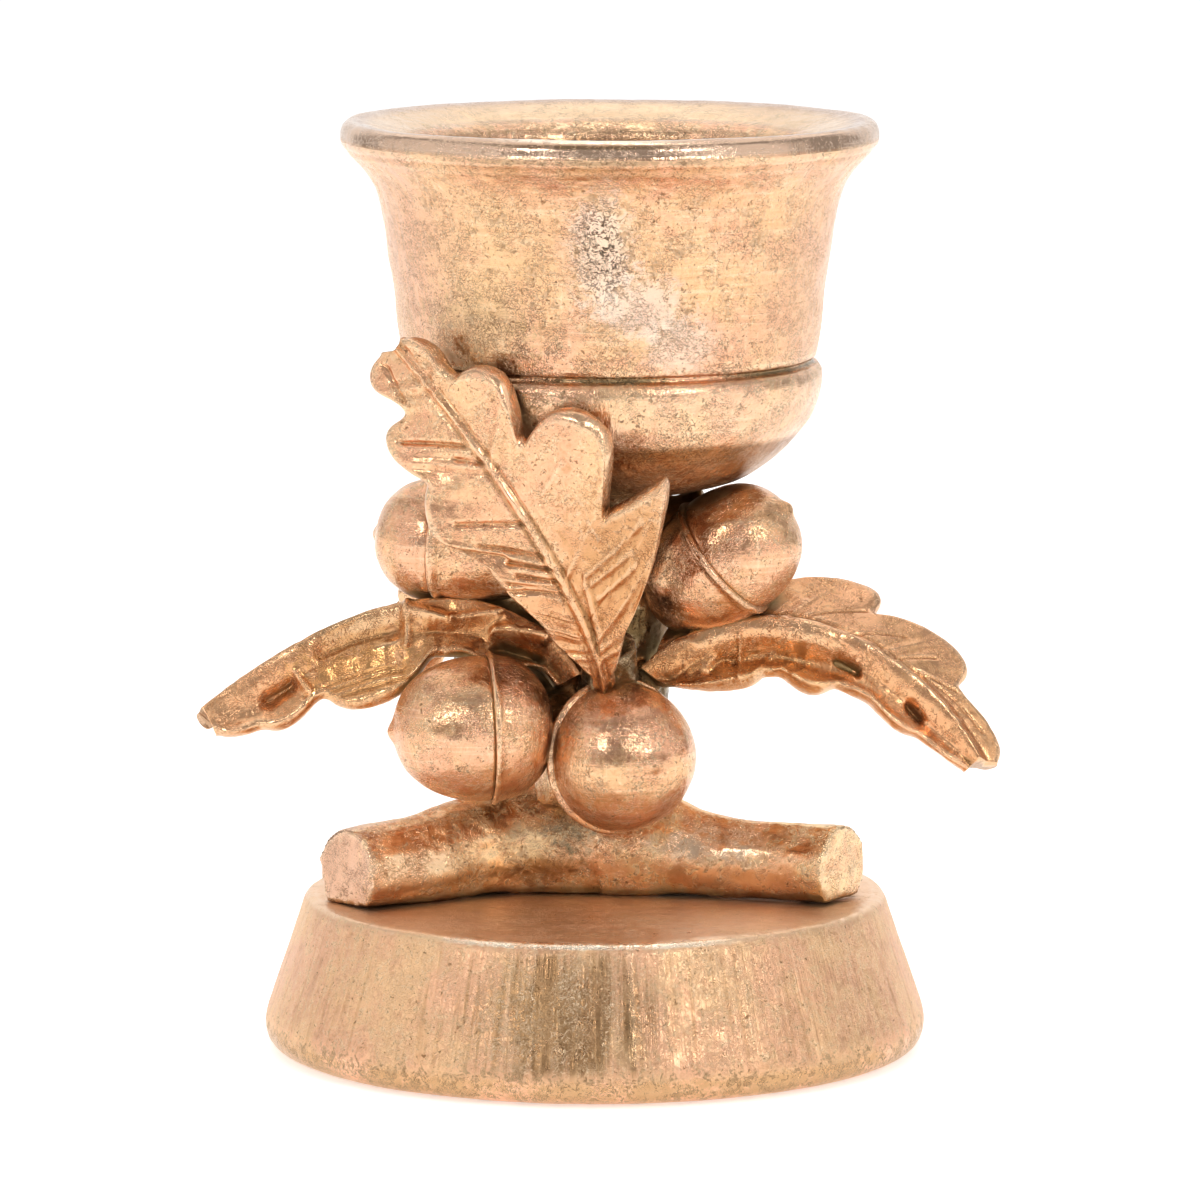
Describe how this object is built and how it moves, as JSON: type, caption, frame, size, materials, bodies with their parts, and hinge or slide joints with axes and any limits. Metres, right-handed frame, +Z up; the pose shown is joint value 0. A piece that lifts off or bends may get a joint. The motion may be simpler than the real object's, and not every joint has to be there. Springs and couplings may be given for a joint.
{
  "type": "candle holder",
  "caption": "Small standing candle holder: a flared cup carried on a cluster of acorns and oak leaves over a forked branch and a round tapered base.",
  "frame": {"origin": "middle of the felt pad's underside, where the holder stands", "axes": "+Z up along the cup, +X to the right of the side with the upright leaf, +Y away from that side"},
  "size_m": [0.0873, 0.0724, 0.1016],
  "materials": {
    "base_finish": "rubbed rose gold leaf with brush marks",
    "branch_finish": "rubbed rose gold leaf over bark",
    "cup_finish": "rubbed rose gold leaf with a worn pale patch",
    "acorn_finish": "crinkled rose gold leaf, worn bright in places",
    "leaf_finish": "rose gold leaf, brown in the veins",
    "felt": "brown felt",
    "screw_metal": "plain zinc"
  },
  "bodies": {
    "root": {"base_plinth": "base_finish", "felt_pad": "felt", "fixing_screw": "screw_metal", "centre_post": "branch_finish", "left_branch": "branch_finish", "right_branch": "branch_finish", "rear_branch": "branch_finish", "candle_cup": "cup_finish", "front_left_acorn_nut": "acorn_finish", "front_left_acorn_cap": "acorn_finish", "front_right_acorn_nut": "acorn_finish", "front_right_acorn_cap": "acorn_finish", "upper_left_acorn_nut": "acorn_finish", "upper_left_acorn_cap": "acorn_finish", "upper_right_acorn_nut": "acorn_finish", "upper_right_acorn_cap": "acorn_finish", "rear_lower_acorn_nut": "acorn_finish", "rear_lower_acorn_cap": "acorn_finish", "rear_upper_acorn_nut": "acorn_finish", "rear_upper_acorn_cap": "acorn_finish", "front_leaf": "leaf_finish", "left_leaf": "leaf_finish", "right_leaf": "leaf_finish", "rear_leaf": "leaf_finish"}
  },
  "joints": []
}
